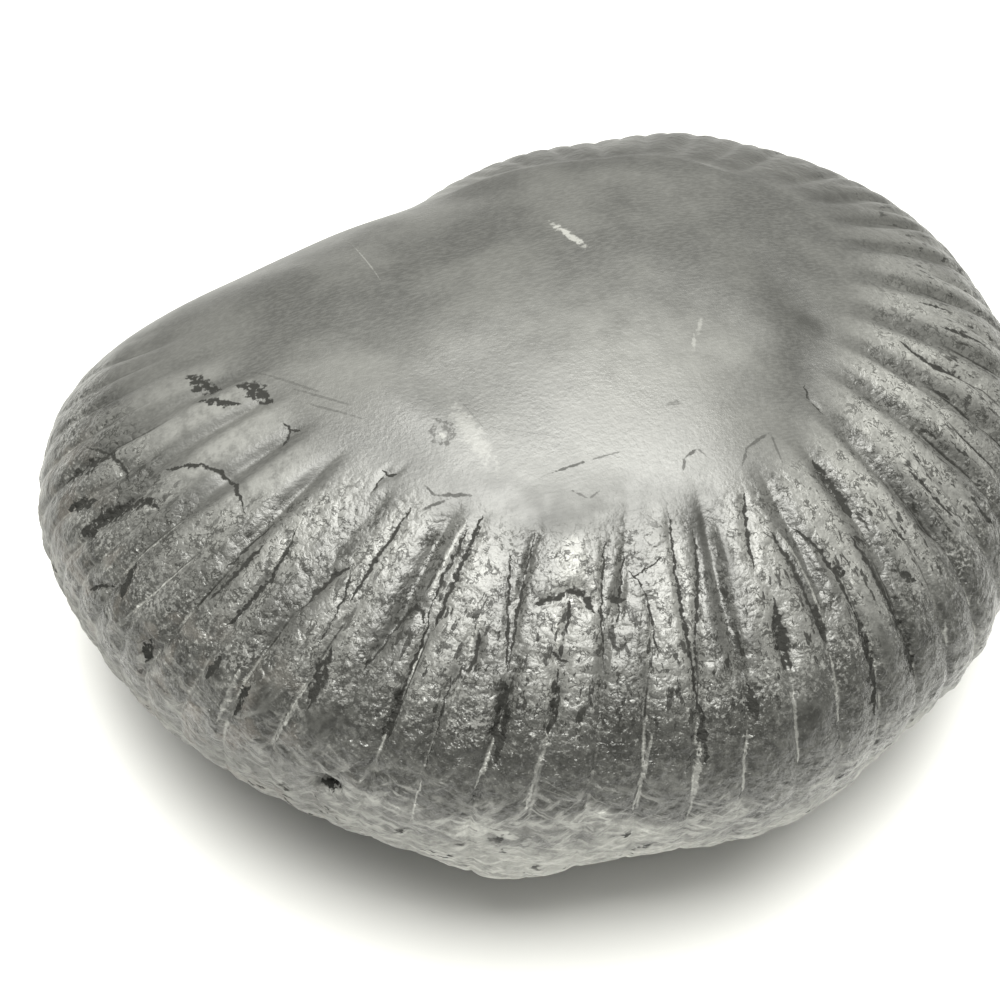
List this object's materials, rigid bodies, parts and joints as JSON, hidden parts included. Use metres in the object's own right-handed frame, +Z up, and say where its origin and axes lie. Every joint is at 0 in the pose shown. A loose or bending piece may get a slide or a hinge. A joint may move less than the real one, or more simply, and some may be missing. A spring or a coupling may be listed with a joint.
{
  "type": "shaligram stone",
  "caption": "Disc-shaped black ammonite fossil, river-worn, with forked ribs around the rim, a smooth low cap over the coil's middle and a flat worn underside.",
  "frame": {"origin": "foot of the fossil's coil axis, on the flat that the stone rests on", "axes": "+Z up along the coil axis, -Y towards the side seen nearest in the picture, +X to that view's right"},
  "size_m": [0.1033, 0.0934, 0.039],
  "materials": {
    "stone": "satin, river-polished, rougher and crinkled over the ribs"
  },
  "bodies": {
    "root": {"stone": "stone"}
  },
  "joints": []
}
